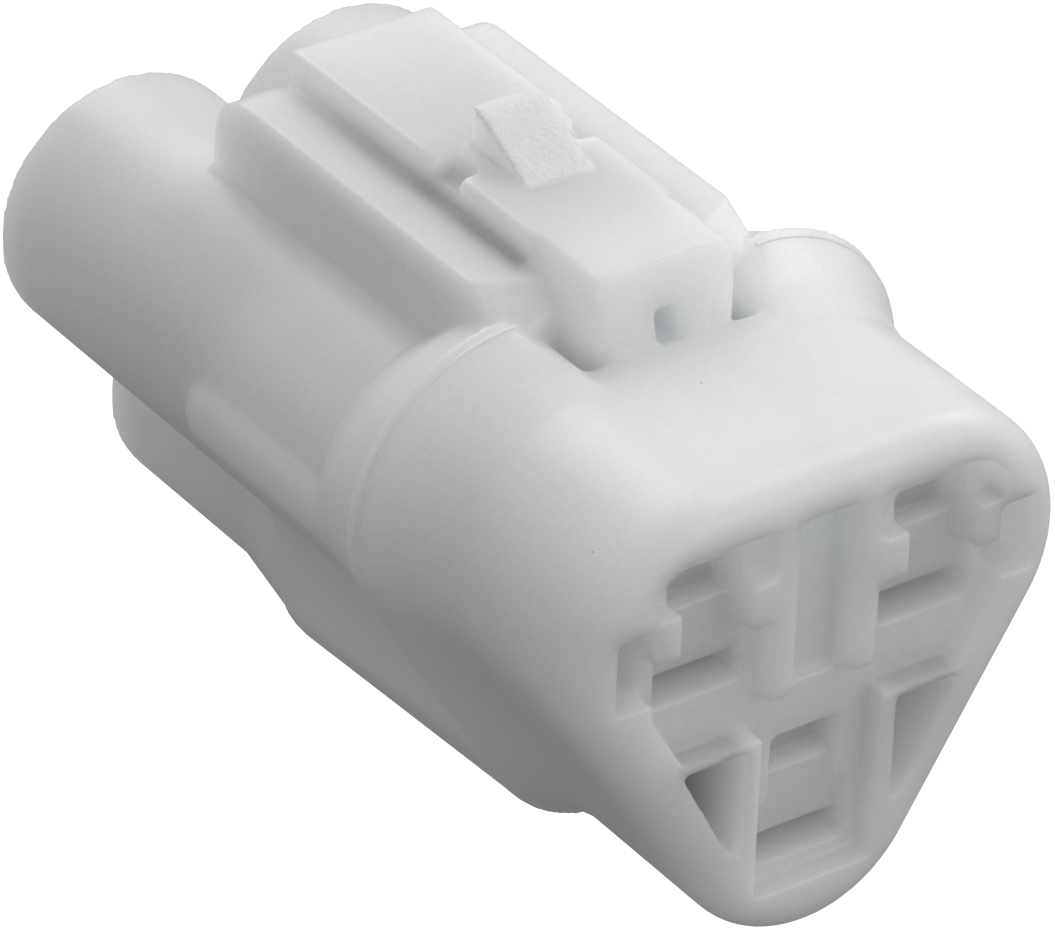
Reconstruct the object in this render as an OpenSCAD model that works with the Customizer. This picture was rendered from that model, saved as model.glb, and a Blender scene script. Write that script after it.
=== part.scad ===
// Three-way sealed plug housing, moulded in one piece with its latch arm.
// X runs across the housing, Y from the mating face to the wire entries, Z up.
// The origin is the centre of the cavity pattern, in the plane of the mating face.

/* [Cavity pattern] */
// Distance between neighbouring cavities, which form an equilateral triangle
pitch = 7; // [6.8:0.1:7.2]
// Length of the housing from the mating face to the ends of the tubes
housing_length = 27.1; // [26.5:0.1:28]

/* [Wire tubes] */
// Outer radius of each wire tube
tube_r = 3.8; // [3.7:0.05:4]
// Radius of the bore that takes a wire seal
seal_bore_r = 2.8; // [2.6:0.05:3]
// Depth of the seal bore from the end of the tube
seal_bore_depth = 9.5; // [8:0.5:11]
// Chamfer at the mouth of each seal bore
mouth_chamfer = 0.35; // [0.2:0.05:0.5]

/* [Nose] */
// Length of the nose ahead of the collar
nose_length = 6.3; // [6:0.1:6.6]
// Radius of the two upper corners of the nose
nose_top_r = 4.15; // [4:0.05:4.25]
// Radius of the lower corner of the nose
nose_low_r = 3.7; // [3.6:0.05:3.8]
// Rounding of the nose's front rim
rim_r = 1.0; // [0.6:0.1:1.1]

/* [Collar and skirt] */
// Distance from the mating face to the collar's widest edge
collar_y = 8.6; // [8.4:0.1:8.8]
// Length of the hollow slope from the collar's widest edge down to the tubes
collar_slope = 3.4; // [2.8:0.1:3.8]
// Radius of the collar's two upper lobes
collar_top_r = 4.75; // [4.6:0.05:4.9]
// Radius of the collar's lower lobe
collar_low_r = 4.15; // [4:0.05:4.3]
// Radius of the skirt round the lower tube
skirt_r = 4.45; // [4.3:0.05:4.6]
// Distance from the mating face to the end of the skirt
skirt_end = 18.1; // [17:0.1:19]

/* [Guard rails] */
// Height of the rails' top above the cavity pattern's centre
rail_top = 8.35; // [8:0.05:8.4]
// Distance from the mating face to the ends of the rails
rail_end = 21.9; // [21.5:0.1:23]
// Thickness of each rail
rail_wall = 1.6; // [1.4:0.1:1.8]

/* [Latch arm] */
// Height of the arm's upper face
arm_top = 9.2; // [9.1:0.05:9.4]
// Thickness of the arm
arm_thickness = 1.15; // [0.9:0.05:1.3]
// Width of the press pad at the free end
pad_width = 4.5; // [4.2:0.1:4.6]
// Distance from the mating face to the arm's free end
arm_end = 21.05; // [20.5:0.05:21.5]
// Height of the catch above the arm
catch_height = 1.2; // [0.9:0.1:1.4]

/* [Mating face] */
// Depth of the shallow recess that seats a retainer
recess_depth = 0.7; // [0.5:0.05:0.9]
// Depth of the central channel
channel_depth = 1.0; // [0.8:0.1:1.4]
// Depth of the two slots for the retainer's arms
slot_depth = 1.6; // [1.2:0.1:2]
// Depth of the two weight-saving pockets
pocket_depth = 5; // [3:0.5:6]

/* [Terminal cavities] */
// Width of each terminal cavity
cavity_width = 2.8; // [2.6:0.1:3]
// Thickness of each locking lance
lance_thickness = 0.5; // [0.4:0.05:0.6]

/* [Hidden] */

nylon = [0.90, 0.91, 0.90];
eps = 0.02;

// Places of the three cavities
upper_x = pitch / 2;
upper_z = pitch / (2 * sqrt(3));
lower_z = -pitch / sqrt(3);
CAVITIES = [[-upper_x, upper_z], [upper_x, upper_z], [0, lower_z]];

// Corners of the nose, of the collar and of the skirt
nose_corner = [3.28, 2.92];
nose_low_z = -3.32;
collar_corner = [3.8, 3.25];
collar_end = collar_y + collar_slope;
// Share of the step taken part-way along the collar's hollow front and rear slopes
front_waist = [0.45, 0.28];
rear_waist = [0.5, 0.62];
edge_land = 0.35;

// Side fins and the hollow flanks below them
fin_place = [6.4, 1.72];
fin_r = 1.3;
fin_end = 17.3;
flank_r = 9;
flank_lead = 0.45;
flank_place = [13.07, -5.93];
skirt_taper = 3.4;

// Gap that holds the latch arm
gap_half = 2.45;
rail_foot_y = 8.65;
rail_crest_y = 10.3;
rail_turn = 30;
rail_fall = 34;
rail_end_r = 1.5;
deck_top = upper_z + 4.6;
LOBE_GAP = [[4.2, 8.3], [3.9, 7.9], [3.45, 7.55], [2.95, 7.25], [2.8, 7.0]];
side_gap = [2.7, 5.6];

// Latch arm
root_half = 2.33;
root_y = 7.05;
root_end = 10.2;
root_corner = 0.85;
root_chamfer = [0.4, 0.6];
root_hole = [0.75, 0.95];
arm_half = 2.22;
arm_chamfer = 0.14;
notch_x = 1.55;
notch_y = [13.4, 14.6];
notch_depth = 0.5;
pad_y = 15.35;
pad_rise = 0.05;
pad_arc_r = 6.8;
catch_half = 1.05;
catch_y = [12.05, 14.6];
catch_lip = 0.12;
catch_flat = 0.35;

// Outlines cut into the mating face, right-hand halves in X and Z
recess_top = 5.72;
face_step = 0.12;
BAY = [[1.65, recess_top], [4.4, recess_top], [5.0, 5.5], [5.4, 5.0], [5.4, 1.5], [4.3, -0.33],
    [1.65, -0.33]];
lower_recess = [1.9, -5.3, 0.52];
channel = [0.9, 0.52, recess_top];
slot = [5.35, 6.45, 1.92, 4.05];
POCKET = [[2.35, -0.6], [4.35, -0.6], [2.9, -3.3], [2.35, -3.9]];

// Front window, tab slot, lance and stop of each cavity, heights measured from the cavity's axis
lug_half = 1.08;
lug_z = [1.0, 2.3];
front_wall = [1.0, 2.0];
window_half = 1.05;
window_z = [1.78, 3.0];
window_end = 1.55;
lance_end = 9;
tab_z = [-0.8, -0.1];
cavity_z = [-1.3, 1.28];
cavity_start = 2.6;
lance_half = 0.75;
lance_hook = 0.45;
lance_hook_y = [2.6, 4.4];
seal_shoulder = housing_length - seal_bore_depth;

// Outline drawn in X and Z, carried along Y from one place to another
module along_y(from, to) {
    translate([0, to, 0])
        rotate([90, 0, 0])
            linear_extrude(height = to - from)
                children();
}

// Box from its lowest to its highest corner
module box(low, high) {
    translate(low)
        cube(high - low);
}

// Round bar along Y, with its own radius at each end
module bar(place, from, to, r1, r2, sides = 96) {
    translate([place[0], from, place[1]])
        rotate([-90, 0, 0])
            cylinder(h = to - from, r1 = r1, r2 = r2, $fn = sides);
}

// Round bar along Y whose front edge is rounded off
module rounded_bar(place, length, r, edge) {
    arc = [for (a = [0 : 15 : 90]) [r - edge + edge * sin(a), edge - edge * cos(a)]];
    translate([place[0], 0, place[1]])
        rotate([-90, 0, 0])
            rotate_extrude($fn = 64)
                polygon(concat([[0, 0]], arc, [[r, length], [0, length]]));
}

// Nose that enters the mating connector, a rounded triangle with a soft rim
module nose() {
    hull() {
        rounded_bar([-nose_corner[0], nose_corner[1]], nose_length, nose_top_r, rim_r);
        rounded_bar(nose_corner, nose_length, nose_top_r, rim_r);
        rounded_bar([0, nose_low_z], nose_length, nose_low_r, rim_r);
    }
}

// Slice across X and Z of the body between two of its outlines, given as [corner, radius, low z, low radius]
function between(a, b, share) =
    [a[0] + share * (b[0] - a[0]), a[1] + share * (b[1] - a[1]), a[2] + share * (b[2] - a[2]),
        a[3] + share * (b[3] - a[3])];

module slice(outline, y, thickness) {
    for (side = [-1, 1])
        bar([side * outline[0][0], outline[0][1]], y - thickness / 2, y + thickness / 2,
            outline[1], outline[1], 64);
    bar([0, outline[2]], y - thickness / 2, y + thickness / 2, outline[3], outline[3], 64);
}

module loft(a, y_a, b, y_b) {
    hull() {
        slice(a, y_a, eps);
        slice(b, y_b, eps);
    }
}

// Collar, which swells from the nose to a sharp edge and falls hollow to the tubes
module collar() {
    nose_outline = [nose_corner, nose_top_r, nose_low_z, nose_low_r];
    edge_outline = [collar_corner, collar_top_r, lower_z, collar_low_r];
    tube_outline = [[upper_x, upper_z], tube_r, lower_z, tube_r + 0.2];
    front_y = nose_length + front_waist[0] * (collar_y - nose_length);
    front_outline = between(nose_outline, edge_outline, front_waist[1]);
    rear_y = collar_y + rear_waist[0] * collar_slope;
    rear_outline = between(tube_outline, edge_outline, rear_waist[1]);
    loft(nose_outline, nose_length - 0.3, front_outline, front_y);
    loft(front_outline, front_y, edge_outline, collar_y + edge_land);
    loft(between(tube_outline, edge_outline, 0.95), collar_y, rear_outline, rear_y);
    loft(rear_outline, rear_y, tube_outline, collar_end);
}

// Hollow flanks between the side fins and the lower tube
module flanks() {
    for (side = [-1, 1])
        bar([side * flank_place[0], flank_place[1]], collar_y + flank_lead, skirt_end + 1,
            flank_r, flank_r, 128);
}

// Skirt that joins the lower tube to the two side fins
module skirt() {
    hull() {
        for (side = [-1, 1])
            bar([side * fin_place[0], fin_place[1]], collar_y, fin_end, fin_r, fin_r, 48);
        bar([0, lower_z], collar_y, skirt_end, collar_low_r - 0.03, skirt_r, 64);
    }
    // Cone from the skirt down to the lower tube
    bar([0, lower_z], skirt_end - 0.3, skirt_end + skirt_taper, skirt_r - 0.03, tube_r - 0.03);
    // Rounded rear ends of the fins
    for (side = [-1, 1])
        translate([side * fin_place[0], fin_end - 0.1, fin_place[1]])
            sphere(r = fin_r - 0.03, $fn = 48);
}

// Wire tubes, which run on inside the collar
module tubes() {
    for (place = CAVITIES)
        bar(place, collar_y, housing_length, tube_r, tube_r);
    // Core between the three tubes
    box([-1.2, collar_y, lower_z / 4], [1.2, housing_length - 1, upper_z]);
}

// One guard rail, with a slanted ramp in front and a rounded top at its rear end
module rail(side) {
    end_arc = [for (a = [90 : -15 : 0])
        [rail_end - rail_end_r + rail_end_r * cos(a), rail_top - rail_end_r + rail_end_r * sin(a)]];
    outer = gap_half + rail_wall;
    difference() {
        translate([side > 0 ? gap_half : -outer, 0, 0])
            rotate([90, 0, 90])
                linear_extrude(height = rail_wall)
                    polygon(concat([[rail_foot_y, upper_z], [rail_foot_y, rail_top]], end_arc,
                        [[rail_end, upper_z]]));
        translate([side * outer, rail_crest_y, rail_top])
            rotate([0, 0, side * rail_turn])
                rotate([rail_fall, 0, 0])
                    translate([-4, -4, 0])
                        cube([8, 4, 2]);
    }
}

// Deck that closes the valley between the upper tubes under the latch arm
module deck() {
    box([-gap_half, collar_y, upper_z], [gap_half, rail_end, deck_top]);
}

// Shapes on the right, repeated on the left
module both_sides() {
    children();
    mirror([1, 0, 0])
        children();
}

// Side view in Y and Z, given a width across X and centred
module across_x(width) {
    translate([-width / 2, 0, 0])
        rotate([90, 0, 90])
            linear_extrude(height = width)
                children();
}

// Block that carries the latch arm, leaning back, with cut front corners
module latch_root() {
    difference() {
        intersection() {
            across_x(2 * root_half)
                polygon([[root_y, upper_z + 3], [root_y, 6.8], [7.6, arm_top - 0.04], [collar_y, arm_top],
                    [root_end, arm_top], [root_end, upper_z + 3]]);
            translate([0, 0, upper_z])
                linear_extrude(height = arm_top)
                    polygon([[-root_half, root_end + 1], [-root_half, root_y + root_corner],
                        [-root_half + 0.25, root_y + 0.25], [-root_half + root_corner, root_y],
                        [root_half - root_corner, root_y], [root_half - 0.25, root_y + 0.25],
                        [root_half, root_y + root_corner], [root_half, root_end + 1]]);
            along_y(root_y - 1, root_end + 1)
                polygon([[-root_half, 0], [-root_half, arm_top - root_chamfer[1]],
                    [-root_half + root_chamfer[0], arm_top], [root_half - root_chamfer[0], arm_top],
                    [root_half, arm_top - root_chamfer[1]], [root_half, 0]]);
        }
        // Small core hole at the foot of the block
        box([-root_hole[0] / 2, root_y - 1, 6.87], [root_hole[0] / 2, root_y + 1.2, 6.87 + root_hole[1]]);
    }
}

// Latch arm, which springs from its front root and ends in a press pad
module latch_arm() {
    difference() {
        union() {
            along_y(root_end - eps, arm_end)
                polygon([[-arm_half, arm_top - arm_thickness], [-arm_half, arm_top - arm_chamfer],
                    [-arm_half + arm_chamfer, arm_top], [arm_half - arm_chamfer, arm_top],
                    [arm_half, arm_top - arm_chamfer], [arm_half, arm_top - arm_thickness]]);
            difference() {
                box([-pad_width / 2, pad_y - 0.5, arm_top - arm_thickness],
                    [pad_width / 2, arm_end, arm_top + pad_rise]);
                translate([0, pad_y - pad_arc_r, 0])
                    cylinder(h = 2 * arm_top, r = pad_arc_r, $fn = 128);
            }
        }
        both_sides()
            box([notch_x, notch_y[0], arm_top - notch_depth], [arm_half + 1, notch_y[1], arm_top + 1]);
    }
}

// Catch, a ramp that rises towards the rear and drops off sharply
module catch() {
    across_x(2 * catch_half)
        polygon([[catch_y[0], arm_top - arm_thickness], [catch_y[0], arm_top + catch_lip],
            [catch_y[1] - catch_flat, arm_top + catch_height], [catch_y[1], arm_top + catch_height],
            [catch_y[1], arm_top - arm_thickness]]);
}

// Guide lugs at both sides of a cavity, left standing in the recess
module lugs() {
    for (place = [CAVITIES[0], CAVITIES[1]])
        for (side = [-1, 1])
            translate([place[0] + side * 1.6, 0, place[1]])
                box([-1.6 + lug_half, -1, lug_z[0]], [1.6 - lug_half, recess_depth + eps, lug_z[1]]);
}

// Recess, channel, arm slots and pockets sunk into the mating face
module face_cuts() {
    difference() {
        both_sides()
            along_y(-1, recess_depth)
                polygon(BAY);
        lugs();
    }
    box([-lower_recess[0], -1, lower_recess[1]], [lower_recess[0], recess_depth, lower_recess[2]]);
    // Fine step that leaves the rim proud of the walls inside it
    box([-BAY[0][0] - eps, -1, BAY[6][1]], [BAY[0][0] + eps, face_step, recess_top]);
    box([-channel[0], -1, channel[1]], [channel[0], channel_depth, channel[2]]);
    both_sides() {
        box([slot[0], -1, slot[2]], [slot[1], slot_depth, slot[3]]);
        along_y(-1, pocket_depth)
            polygon(POCKET);
    }
}

// One cavity from the mating face to the seal bore, with its lance left standing
module cavity() {
    half = cavity_width / 2;
    box([-half, recess_depth - 0.1, tab_z[0]], [half, front_wall[0], lug_z[0]]);
    box([-window_half, recess_depth - 0.1, tab_z[0]], [window_half, front_wall[0], window_z[1]]);
    box([-half, front_wall[0] - eps, tab_z[0]], [half, cavity_start, tab_z[1]]);
    box([-window_half, front_wall[0] - eps, window_z[0]], [window_half, window_end, window_z[1]]);
    // Terminal cavity, with the lance left standing in its roof
    difference() {
        union() {
            box([-half, cavity_start, cavity_z[0]], [half, seal_shoulder + eps, cavity_z[1]]);
            box([-window_half, front_wall[1], cavity_z[1] - 0.1],
                [window_half, lance_end, window_z[0] + 0.5]);
        }
        box([-lance_half, cavity_start, cavity_z[1]],
            [lance_half, lance_end + 1, cavity_z[1] + lance_thickness]);
        translate([-lance_half, 0, 0])
            rotate([90, 0, 90])
                linear_extrude(height = 2 * lance_half)
                    polygon([[lance_hook_y[0], cavity_z[1] - lance_hook],
                        [lance_hook_y[0], cavity_z[1] + 0.1], [lance_hook_y[1], cavity_z[1] + 0.1]]);
    }
    // Seal bore with a chamfered mouth
    translate([0, housing_length + eps, 0])
        rotate([90, 0, 0]) {
            cylinder(h = seal_bore_depth + eps, r = seal_bore_r, $fn = 96);
            cylinder(h = mouth_chamfer + eps, r1 = seal_bore_r + mouth_chamfer, r2 = seal_bore_r, $fn = 96);
        }
}

// Gap between the two upper lobes of the collar, and the slots at both sides of the latch arm's root
module lobe_gap() {
    right = [for (i = [len(LOBE_GAP) - 1 : -1 : 0]) LOBE_GAP[i]];
    left = [for (corner = LOBE_GAP) [-corner[0], corner[1]]];
    along_y(nose_length - 0.5, collar_end + 0.5)
        polygon(concat([[-LOBE_GAP[0][0], 9.5]], left, right, [[LOBE_GAP[0][0], 9.5]]));
    box([-side_gap[0], root_y, side_gap[1]], [side_gap[0], collar_end + 0.5, 9]);
}

module housing() {
    color(nylon)
        difference() {
            union() {
                difference() {
                    union() {
                        difference() {
                            union() {
                                collar();
                                skirt();
                            }
                            flanks();
                        }
                        tubes();
                    }
                    lobe_gap();
                }
                nose();
                deck();
                rail(-1);
                rail(1);
                latch_root();
                latch_arm();
                catch();
            }
            face_cuts();
            for (place = CAVITIES)
                translate([place[0], 0, place[1]])
                    cavity();
        }
}

housing();
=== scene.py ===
import math
import random

import bmesh
import bpy
from mathutils import Matrix, Vector


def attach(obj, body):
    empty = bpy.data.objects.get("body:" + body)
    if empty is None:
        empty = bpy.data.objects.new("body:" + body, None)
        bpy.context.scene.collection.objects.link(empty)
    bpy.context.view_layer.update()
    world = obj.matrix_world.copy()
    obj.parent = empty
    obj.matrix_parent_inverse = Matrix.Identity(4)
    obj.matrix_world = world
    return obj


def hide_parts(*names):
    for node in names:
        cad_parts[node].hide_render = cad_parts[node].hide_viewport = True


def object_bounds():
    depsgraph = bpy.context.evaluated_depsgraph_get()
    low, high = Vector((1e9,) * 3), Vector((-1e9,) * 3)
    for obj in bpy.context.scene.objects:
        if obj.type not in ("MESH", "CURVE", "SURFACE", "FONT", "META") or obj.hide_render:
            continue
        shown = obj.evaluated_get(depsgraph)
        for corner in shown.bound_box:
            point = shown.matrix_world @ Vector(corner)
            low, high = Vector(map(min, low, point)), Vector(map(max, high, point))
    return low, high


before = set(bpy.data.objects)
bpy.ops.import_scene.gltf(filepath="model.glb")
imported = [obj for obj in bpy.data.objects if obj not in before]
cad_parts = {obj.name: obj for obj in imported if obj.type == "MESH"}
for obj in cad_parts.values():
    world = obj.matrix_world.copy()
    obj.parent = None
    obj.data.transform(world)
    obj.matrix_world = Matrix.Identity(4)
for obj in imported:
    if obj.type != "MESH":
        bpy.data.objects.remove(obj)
cad_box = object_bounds()
bpy.ops.object.select_all(action="DESELECT")
scene = bpy.context.scene
MM = 0.001

# ---------------------------------------------------------------- camera
# It looks from the front, above and the left, with a long lens and a slight roll.
AZIMUTH, ELEVATION, ROLL = -36.26, 32.82, 2.24
DISTANCE = 0.2306
AIM = Vector((0.0, 0.015, -0.00098))
SHIFT_RIGHT, SHIFT_UP = 0.00120, -0.00005
LENS, SENSOR_WIDTH = 300.0, 36.0
CLIP_START, CLIP_END = 0.01, 20.0

az, el, roll = (math.radians(v) for v in (AZIMUTH, ELEVATION, ROLL))
back = Vector((math.sin(az) * math.cos(el), -math.cos(az) * math.cos(el), math.sin(el)))
level = Vector((math.cos(az), math.sin(az), 0.0))
up = back.cross(level)
right = level * math.cos(roll) + up * math.sin(roll)
up = up * math.cos(roll) - level * math.sin(roll)

bpy.ops.object.camera_add()
camera = bpy.context.object
camera.name = "camera"
camera.data.lens = LENS
camera.data.sensor_width = SENSOR_WIDTH
camera.data.clip_start = CLIP_START
camera.data.clip_end = CLIP_END
place = AIM + back * DISTANCE + right * SHIFT_RIGHT + up * SHIFT_UP
camera.matrix_world = Matrix.Translation(place) @ Matrix((right, up, back)).transposed().to_4x4()
scene.camera = camera

# ---------------------------------------------------------------- the moulding
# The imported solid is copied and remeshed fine, so that its edges take the soft radii of a mould.
MERGE_DISTANCE = 1e-6
FINE_VOXEL, QUICK_VOXEL = 0.1 * MM, 0.2 * MM
SOFTEN_FACTOR, SOFTEN_TIMES = 0.5, 7
TRIANGLE_LIMIT = 190000

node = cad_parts["housing"]
mesh = node.data.copy()
mesh.name = "housing_moulding"
moulding = bpy.data.objects.new("housing_moulding", mesh)
scene.collection.objects.link(moulding)
bpy.context.view_layer.objects.active = moulding
moulding.select_set(True)

bm = bmesh.new()
bm.from_mesh(mesh)
bmesh.ops.remove_doubles(bm, verts=bm.verts, dist=MERGE_DISTANCE)
bm.to_mesh(mesh)
bm.free()

remesh = moulding.modifiers.new("remesh", "REMESH")
remesh.mode = "VOXEL"
remesh.voxel_size = FINE_VOXEL
bpy.ops.object.modifier_apply(modifier="remesh")
smooth = moulding.modifiers.new("soft_edges", "SMOOTH")
smooth.factor = SOFTEN_FACTOR
smooth.iterations = SOFTEN_TIMES
bpy.ops.object.modifier_apply(modifier="soft_edges")
# The remeshed faces have four sides, so each makes two triangles.
decimate = moulding.modifiers.new("decimate", "DECIMATE")
decimate.ratio = min(1.0, TRIANGLE_LIMIT / (2 * len(moulding.data.polygons)))
bpy.ops.object.modifier_apply(modifier="decimate")
bpy.ops.object.shade_smooth()


# ---------------------------------------------------------------- shader trees
def blank_tree(owner):
    """Empty the node tree of a material or a world."""
    owner.use_nodes = True
    owner.node_tree.nodes.clear()
    return owner.node_tree


def add(tree, kind, x, y, **settings):
    """Put one node in a tree, with its own settings."""
    made = tree.nodes.new(kind)
    made.location = (x, y)
    for key, value in settings.items():
        setattr(made, key, value)
    return made


def link(tree, *pairs):
    """Link nodes, each pair given as a node and its output, then a node and its input."""
    for source, output, target, entry in pairs:
        tree.links.new(source.outputs[output], target.inputs[entry])


def noise(tree, x, y, scale, detail, stretch=(1.0, 1.0, 1.0)):
    """A noise texture, with its scale in cycles to the metre, behind a node that stretches it."""
    stretched = add(tree, "ShaderNodeVectorMath", x - 200, y, operation="MULTIPLY")
    stretched.inputs[1].default_value = stretch
    made = add(tree, "ShaderNodeTexNoise", x, y)
    made.inputs["Scale"].default_value = scale
    made.inputs["Detail"].default_value = detail
    link(tree, (stretched, "Vector", made, "Vector"))
    return stretched, made


# ---------------------------------------------------------------- nylon
# The tone of natural nylon: soft clouds, streaks along the flow, fine grain and a few grey specks.
CLOUD_SCALE, STREAK_SCALE, GRAIN_SCALE = 330.0, 900.0, 7500.0
STREAK_STRETCH = (1.0, 0.16, 1.0)
STREAK_SHARE, GRAIN_SHARE = 0.4, 0.4
DULL_FROM, DULL_MILK = 0.36, (0.872, 0.893, 0.905, 1.0)
CLEAR_FROM, CLEAR_MILK = 0.64, (0.932, 0.95, 0.958, 1.0)
SPECK_SCALE, SPECK_REACH, SPECKS_LEFT_OUT = 560.0, 0.022, 0.55
SPECK_GREY = (0.4, 0.4, 0.39, 1.0)
GLOSS_FROM, GLOSS_TO = (0.35, 0.65), (0.31, 0.46)

tone = bpy.data.node_groups.new("nylon_tone", "ShaderNodeTree")
tone.interface.new_socket("Vector", in_out="INPUT", socket_type="NodeSocketVector")
tone.interface.new_socket("Color", in_out="OUTPUT", socket_type="NodeSocketColor")
tone.interface.new_socket("Roughness", in_out="OUTPUT", socket_type="NodeSocketFloat")
tone_in = add(tone, "NodeGroupInput", -900, 0)
tone_out = add(tone, "NodeGroupOutput", 900, 0)

cloud_at, cloud = noise(tone, -500, 300, CLOUD_SCALE, 2.0)
streak_at, streak = noise(tone, -500, 60, STREAK_SCALE, 2.0, STREAK_STRETCH)
grain_at, grain = noise(tone, -500, -180, GRAIN_SCALE, 1.0)
streaked = add(tone, "ShaderNodeMix", -280, 200)
streaked.inputs["Factor"].default_value = STREAK_SHARE
grained = add(tone, "ShaderNodeMix", -80, 80)
grained.inputs["Factor"].default_value = GRAIN_SHARE
milky = add(tone, "ShaderNodeValToRGB", 120, 160)
milky.color_ramp.elements[0].position = DULL_FROM
milky.color_ramp.elements[0].color = DULL_MILK
milky.color_ramp.elements[1].position = CLEAR_FROM
milky.color_ramp.elements[1].color = CLEAR_MILK

cells = add(tone, "ShaderNodeTexVoronoi", -500, -420)
cells.inputs["Scale"].default_value = SPECK_SCALE
near = add(tone, "ShaderNodeMath", -280, -380, operation="LESS_THAN")
near.inputs[1].default_value = SPECK_REACH
chosen = add(tone, "ShaderNodeMath", -280, -540, operation="GREATER_THAN")
chosen.inputs[1].default_value = SPECKS_LEFT_OUT
speck = add(tone, "ShaderNodeMath", -80, -440, operation="MULTIPLY")
specked = add(tone, "ShaderNodeMix", 480, 100, data_type="RGBA")
specked.inputs["B"].default_value = SPECK_GREY

gloss = add(tone, "ShaderNodeMapRange", 480, -200)
gloss.inputs["From Min"].default_value, gloss.inputs["From Max"].default_value = GLOSS_FROM
gloss.inputs["To Min"].default_value, gloss.inputs["To Max"].default_value = GLOSS_TO

link(
    tone,
    (tone_in, "Vector", cloud_at, 0),
    (tone_in, "Vector", streak_at, 0),
    (tone_in, "Vector", grain_at, 0),
    (cloud, "Fac", streaked, "A"),
    (streak, "Fac", streaked, "B"),
    (streaked, "Result", grained, "A"),
    (grain, "Fac", grained, "B"),
    (grained, "Result", milky, "Fac"),
    (tone_in, "Vector", cells, "Vector"),
    (cells, "Distance", near, 0),
    (cells, "Color", chosen, 0),
    (near, "Value", speck, 0),
    (chosen, "Value", speck, 1),
    (speck, "Value", specked, "Factor"),
    (milky, "Color", specked, "A"),
    (specked, "Result", tone_out, "Color"),
    (grained, "Result", gloss, "Value"),
    (gloss, "Result", tone_out, "Roughness"),
)

# The skin left by a spark-eroded mould: a shallow waviness with a fine grain on it.
WAVE_SCALE, WAVE_HEIGHT = 420.0, 0.030 * MM

skin = bpy.data.node_groups.new("mould_skin", "ShaderNodeTree")
skin.interface.new_socket("Vector", in_out="INPUT", socket_type="NodeSocketVector")
skin.interface.new_socket("Grain Size", in_out="INPUT", socket_type="NodeSocketFloat")
skin.interface.new_socket("Grain Height", in_out="INPUT", socket_type="NodeSocketFloat")
skin.interface.new_socket("Height", in_out="OUTPUT", socket_type="NodeSocketFloat")
skin_in = add(skin, "NodeGroupInput", -700, 0)
skin_out = add(skin, "NodeGroupOutput", 500, 0)
wave_at, wave = noise(skin, -300, 200, WAVE_SCALE, 1.0)
pit_at, pit = noise(skin, -300, -100, 1.0, 3.0)
wave_height = add(skin, "ShaderNodeMath", -60, 200, operation="MULTIPLY")
wave_height.inputs[1].default_value = WAVE_HEIGHT
pit_height = add(skin, "ShaderNodeMath", -60, -100, operation="MULTIPLY")
height = add(skin, "ShaderNodeMath", 200, 0, operation="ADD")
link(
    skin,
    (skin_in, "Vector", wave_at, 0),
    (skin_in, "Vector", pit_at, 0),
    (skin_in, "Grain Size", pit, "Scale"),
    (wave, "Fac", wave_height, 0),
    (pit, "Fac", pit_height, 0),
    (skin_in, "Grain Height", pit_height, 1),
    (wave_height, "Value", height, 0),
    (pit_height, "Value", height, 1),
    (height, "Value", skin_out, "Height"),
)

NYLON_IOR = 1.5


def nylon(name, grain_scale, grain_height, depth):
    """Translucent nylon, from its grain's cycles to the metre, the grain's height and how deep light goes."""
    made = bpy.data.materials.new(name)
    tree = blank_tree(made)
    output = add(tree, "ShaderNodeOutputMaterial", 600, 0)
    shader = add(tree, "ShaderNodeBsdfPrincipled", 300, 0)
    shader.inputs["IOR"].default_value = NYLON_IOR
    shader.inputs["Subsurface Weight"].default_value = 1.0
    shader.inputs["Subsurface Radius"].default_value = (1.0, 1.0, 1.0)
    shader.inputs["Subsurface Scale"].default_value = depth
    where = add(tree, "ShaderNodeTexCoord", -600, 0)
    colour = add(tree, "ShaderNodeGroup", -200, 150, node_tree=tone)
    relief = add(tree, "ShaderNodeGroup", -200, -150, node_tree=skin)
    relief.inputs["Grain Size"].default_value = grain_scale
    relief.inputs["Grain Height"].default_value = grain_height
    bump = add(tree, "ShaderNodeBump", 60, -150)
    bump.inputs["Distance"].default_value = 1.0
    link(
        tree,
        (where, "Object", colour, "Vector"),
        (where, "Object", relief, "Vector"),
        (colour, "Color", shader, "Base Color"),
        (colour, "Roughness", shader, "Roughness"),
        (relief, "Height", bump, "Height"),
        (bump, "Normal", shader, "Normal"),
        (shader, "BSDF", output, "Surface"),
    )
    return made


smooth_nylon = nylon("milky_nylon", 9000.0, 0.005 * MM, 4.0 * MM)
rough_nylon = nylon("grained_nylon", 8000.0, 0.13 * MM, 0.4 * MM)
# Light goes no deeper than the fine lines stand out, or they would show dark on the moulding.
bead_nylon = nylon("bead_nylon", 9000.0, 0.006 * MM, 0.02 * MM)
moulding.data.materials.clear()
moulding.data.materials.append(smooth_nylon)
moulding.data.materials.append(rough_nylon)

# The catch's ramp keeps the coarse grain of the tool that made it.
RAMP_HALF_WIDTH, RAMP_FRONT, RAMP_REAR, RAMP_BOTTOM = 1.08 * MM, 12.0 * MM, 14.65 * MM, 9.26 * MM
RAMP_UPWARD = 0.25
ROUGH_INDEX = 1

for face in moulding.data.polygons:
    x, y, z = face.center
    on_ramp = abs(x) < RAMP_HALF_WIDTH and RAMP_FRONT < y < RAMP_REAR and z > RAMP_BOTTOM
    if on_ramp and face.normal.z > RAMP_UPWARD:
        face.material_index = ROUGH_INDEX
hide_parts("housing")
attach(moulding, "root")


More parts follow.
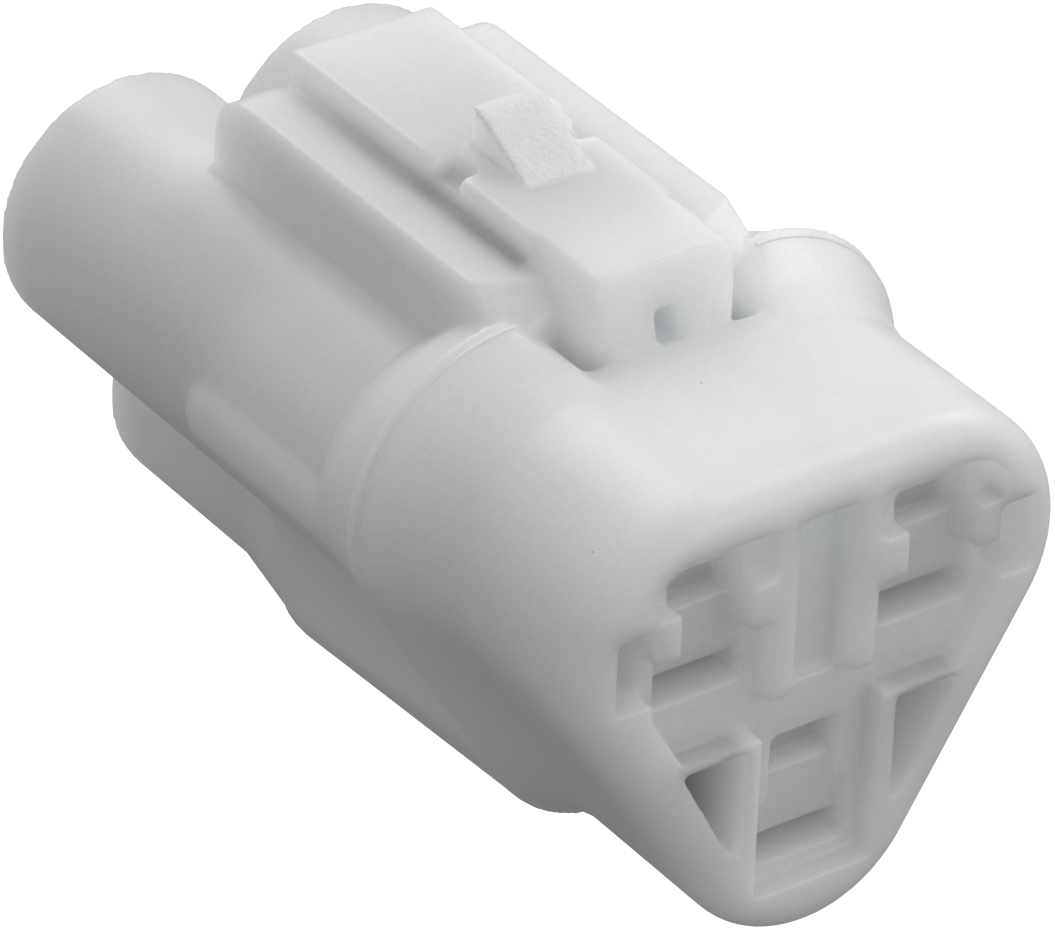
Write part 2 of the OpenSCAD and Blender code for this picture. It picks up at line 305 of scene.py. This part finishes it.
# ---------------------------------------------------------------- parting lines
def fine_bead(name, radius, points):
    """A raised line of plastic, such as two halves of a mould leave, through points in millimetres."""
    curve = bpy.data.curves.new(name, "CURVE")
    curve.dimensions = "3D"
    curve.bevel_depth = radius * MM
    curve.bevel_resolution = 3
    curve.use_fill_caps = True
    spline = curve.splines.new("POLY")
    spline.points.add(len(points) - 1)
    for point, (x, y, z) in zip(spline.points, points):
        point.co = (x * MM, y * MM, z * MM, 1.0)
    made = bpy.data.objects.new(name, curve)
    scene.collection.objects.link(made)
    bpy.ops.object.select_all(action="DESELECT")
    bpy.context.view_layer.objects.active = made
    made.select_set(True)
    bpy.ops.object.convert(target="MESH")
    made = bpy.context.object
    bpy.ops.object.shade_smooth()
    made.data.materials.clear()
    made.data.materials.append(bead_nylon)
    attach(made, "root")


def arc(centre, radius, start, stop, steps, y):
    """Points of an arc across the housing, from one angle to another."""
    points = []
    for step in range(steps + 1):
        turn = start + (stop - start) * step / steps
        points.append((centre.x + radius * math.cos(turn), y, centre.y + radius * math.sin(turn)))
    return points


# Along the collar's edge: round one upper corner, down to the lower lobe, and the same again mirrored.
TOP_CORNER, TOP_R, TOP_STEPS = Vector((3.72, 3.2)), 4.65, 24
LOW_CENTRE, LOW_R, LOW_STEPS = Vector((0.0, -3.93)), 4.08, 12
COLLAR_EDGE_Y, COLLAR_BEAD_R = 8.6, 0.06
STRAIGHT_UP = math.pi / 2

between = LOW_CENTRE - TOP_CORNER
tangent = math.atan2(between.y, between.x) + math.acos((TOP_R - LOW_R) / between.length)
edge = arc(TOP_CORNER, TOP_R, STRAIGHT_UP, tangent, TOP_STEPS, COLLAR_EDGE_Y)
edge += arc(LOW_CENTRE, LOW_R, tangent, -STRAIGHT_UP, LOW_STEPS, COLLAR_EDGE_Y)
edge += [(-x, y, z) for x, y, z in reversed(edge[:-1])]
fine_bead("collar_bead", COLLAR_BEAD_R, edge)

# Across the front of the latch's root, uneven as flash is.
FLASH_LEFT, FLASH_STEP, FLASH_POINTS = -1.9, 0.1, 37
FLASH_Y, FLASH_Z, FLASH_WANDER, FLASH_R = 7.66, 9.1, 0.02, 0.035

random.seed(7)
flash = []
for step in range(FLASH_POINTS):
    drift = random.uniform(-FLASH_WANDER, FLASH_WANDER)
    flash.append((FLASH_LEFT + FLASH_STEP * step, FLASH_Y, FLASH_Z + drift))
fine_bead("root_flash", FLASH_R, flash)

# ---------------------------------------------------------------- stage
# The floor is white to the camera, and a mid grey to the light that it sends back up.
FLOOR_DROP, FLOOR_SIZE = 30 * MM, 3.0
FLOOR_GREY, FLOOR_WHITE, FLOOR_GLOW = (0.21, 0.21, 0.21, 1.0), (0.9, 0.9, 0.9, 1.0), 0.4
WHITE = (1.0, 1.0, 1.0, 1.0)

lowest = cad_box[0][2]
bpy.ops.mesh.primitive_plane_add(size=FLOOR_SIZE, location=(0.0, 0.0, lowest - FLOOR_DROP))
floor = bpy.context.object
floor.name = "floor"
paper = bpy.data.materials.new("pale_floor")
paper_tree = blank_tree(paper)
paper_out = add(paper_tree, "ShaderNodeOutputMaterial", 600, 0)
paper_sum = add(paper_tree, "ShaderNodeAddShader", 400, 0)
paper_path = add(paper_tree, "ShaderNodeLightPath", -400, 200)
paper_tone = add(paper_tree, "ShaderNodeMix", -100, 100, data_type="RGBA")
paper_tone.inputs["A"].default_value = FLOOR_GREY
paper_tone.inputs["B"].default_value = FLOOR_WHITE
paper_face = add(paper_tree, "ShaderNodeBsdfDiffuse", 150, 100)
paper_glow = add(paper_tree, "ShaderNodeEmission", 150, -100)
paper_glow.inputs["Color"].default_value = WHITE
paper_level = add(paper_tree, "ShaderNodeMath", -100, -150, operation="MULTIPLY")
paper_level.inputs[1].default_value = FLOOR_GLOW
link(
    paper_tree,
    (paper_path, "Is Camera Ray", paper_tone, "Factor"),
    (paper_path, "Is Camera Ray", paper_level, 0),
    (paper_tone, "Result", paper_face, "Color"),
    (paper_level, "Value", paper_glow, "Strength"),
    (paper_face, "BSDF", paper_sum, 0),
    (paper_glow, "Emission", paper_sum, 1),
    (paper_sum, "Shader", paper_out, "Surface"),
)
floor.data.materials.append(paper)

# The world is white to the camera, and lights the housing at half of that.
WORLD_LIGHT, WORLD_WHITE = 0.51, 1.0

world = bpy.data.worlds.new("studio")
scene.world = world
world_tree = blank_tree(world)
world_out = add(world_tree, "ShaderNodeOutputWorld", 400, 0)
world_back = add(world_tree, "ShaderNodeBackground", 200, 0)
world_back.inputs["Color"].default_value = WHITE
world_path = add(world_tree, "ShaderNodeLightPath", -200, 0)
world_level = add(world_tree, "ShaderNodeMapRange", 0, 0)
world_level.inputs["To Min"].default_value = WORLD_LIGHT
world_level.inputs["To Max"].default_value = WORLD_WHITE
link(
    world_tree,
    (world_path, "Is Camera Ray", world_level, "Value"),
    (world_level, "Result", world_back, "Strength"),
    (world_back, "Background", world_out, "Surface"),
)

LAMP_SIZE = 0.16
LAMP_AIM = Vector((0.0, 0.012, 0.0))


def soft_light(name, place, power):
    """A square soft box, turned to face the middle of the housing."""
    bpy.ops.object.light_add(type="AREA", location=place)
    lamp = bpy.context.object
    lamp.name = name
    lamp.data.size = LAMP_SIZE
    lamp.data.energy = power
    lamp.rotation_euler = (LAMP_AIM - Vector(place)).to_track_quat("-Z", "Y").to_euler()


soft_light("right", (0.20, 0.02, 0.20), 0.22)
soft_light("behind", (0.05, 0.25, 0.18), 0.21)
soft_light("front", (0.12, -0.26, 0.12), 0.155)

scene.view_settings.view_transform = "Standard"

bpy.context.view_layer.update()
